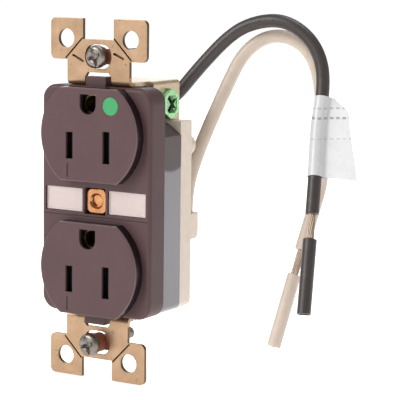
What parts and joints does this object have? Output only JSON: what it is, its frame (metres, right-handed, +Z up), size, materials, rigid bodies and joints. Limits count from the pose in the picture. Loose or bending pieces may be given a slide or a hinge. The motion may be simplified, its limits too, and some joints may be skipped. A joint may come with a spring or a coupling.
{
  "type": "duplex wall receptacle",
  "caption": "Duplex grounded wall receptacle with wrap-around strap, shuttered outlets, green ground screw and stripped black and white leads.",
  "frame": {"origin": "centre of the strap's rear plane, midway between the two box screws", "axes": "+X to the right seen from the front, +Y from the front to the back, +Z up; the outlet faces look along -Y"},
  "size_m": [0.0832, 0.0574, 0.1062],
  "materials": {
    "cover_plastic": "moulded dark brown nylon, satin gloss",
    "body_plastic": "moulded dark brown nylon, gloss",
    "ivory_plastic": "moulded ivory nylon",
    "strap_plate": "tan plated strip, satin",
    "post_brass": "bright turned brass",
    "contact_brass": "stamped brass",
    "zinc_steel": "zinc plated steel",
    "green_screw": "green dyed plating",
    "fibre": "red-brown vulcanised fibre",
    "label_plate": "satin silver inlay",
    "green_dot": "moulded green inlay",
    "shutter_plastic": "dark acetal",
    "spring_steel": "bright spring wire",
    "black_insulation": "black thermoplastic insulation",
    "white_insulation": "white thermoplastic insulation",
    "tinned_copper": "stranded copper",
    "tag_film": "white wrap-round film"
  },
  "bodies": {
    "receptacle": {"front_cover": "cover_plastic", "green_dot": "green_dot", "label_left": "label_plate", "label_right": "label_plate", "centre_post": "post_brass", "mounting_strap": "strap_plate", "mid_body": "body_plastic", "back_body": "ivory_plastic", "body_screws": "zinc_steel", "hot_contact": "contact_brass", "neutral_contact": "contact_brass", "hot_lead_terminal": "contact_brass", "neutral_lead_terminal": "contact_brass", "upper_ground_contact": "contact_brass", "lower_ground_contact": "contact_brass", "ground_contact_rivets": "contact_brass", "upper_shutter_retainer": "shutter_plastic", "lower_shutter_retainer": "shutter_plastic", "upper_shutter_spring": "spring_steel", "lower_shutter_spring": "spring_steel", "black_lead": "black_insulation", "white_lead": "white_insulation", "black_strands": "tinned_copper", "white_strands": "tinned_copper", "wire_tag": "tag_film"},
    "upper_washer": {"upper_screw_washer": "fibre"},
    "upper_screw": {"upper_mounting_screw": "zinc_steel"},
    "lower_washer": {"lower_screw_washer": "fibre"},
    "lower_screw": {"lower_mounting_screw": "zinc_steel"},
    "ground_screw": {"ground_screw": "green_screw"},
    "upper_shutter": {"upper_shutter": "shutter_plastic"},
    "lower_shutter": {"lower_shutter": "shutter_plastic"},
    "black_slug": {"black_slug": "black_insulation"},
    "white_slug": {"white_slug": "white_insulation"}
  },
  "joints": [
    {"name": "upper_washer_float", "type": "slide", "parent": "receptacle", "child": "upper_washer", "axis": [1, 0, 0], "range_m": [-0.0013, 0.0013]},
    {"name": "upper_screw_turn", "type": "hinge", "parent": "upper_washer", "child": "upper_screw", "pos_m": [0, 0, 0.04165], "axis": [0, 1, 0], "continuous": true},
    {"name": "upper_shutter_slide", "type": "slide", "parent": "receptacle", "child": "upper_shutter", "axis": [1, 0, 0], "range_m": [0, 0.0028], "stiffness_N_per_m": 100, "springref_m": -0.003, "deforming": ["upper_shutter_spring"]},
    {"name": "lower_washer_float", "type": "slide", "parent": "receptacle", "child": "lower_washer", "axis": [1, 0, 0], "range_m": [-0.0013, 0.0013]},
    {"name": "lower_screw_turn", "type": "hinge", "parent": "lower_washer", "child": "lower_screw", "pos_m": [0, 0, -0.04165], "axis": [0, 1, 0], "continuous": true},
    {"name": "lower_shutter_slide", "type": "slide", "parent": "receptacle", "child": "lower_shutter", "axis": [1, 0, 0], "range_m": [0, 0.0028], "stiffness_N_per_m": 100, "springref_m": -0.003, "deforming": ["lower_shutter_spring"]},
    {"name": "ground_screw_turn", "type": "hinge", "parent": "receptacle", "child": "ground_screw", "pos_m": [0.01275, 0.016, 0.0277], "axis": [1, 0, 0], "continuous": true},
    {"name": "black_slug_slide", "type": "slide", "parent": "receptacle", "child": "black_slug", "axis": [0.1131, -0.3479, -0.9307], "range_m": [-0.007, 0.018]},
    {"name": "white_slug_slide", "type": "slide", "parent": "receptacle", "child": "white_slug", "axis": [-0.0964, -0.3663, -0.9255], "range_m": [-0.007, 0.018]}
  ]
}
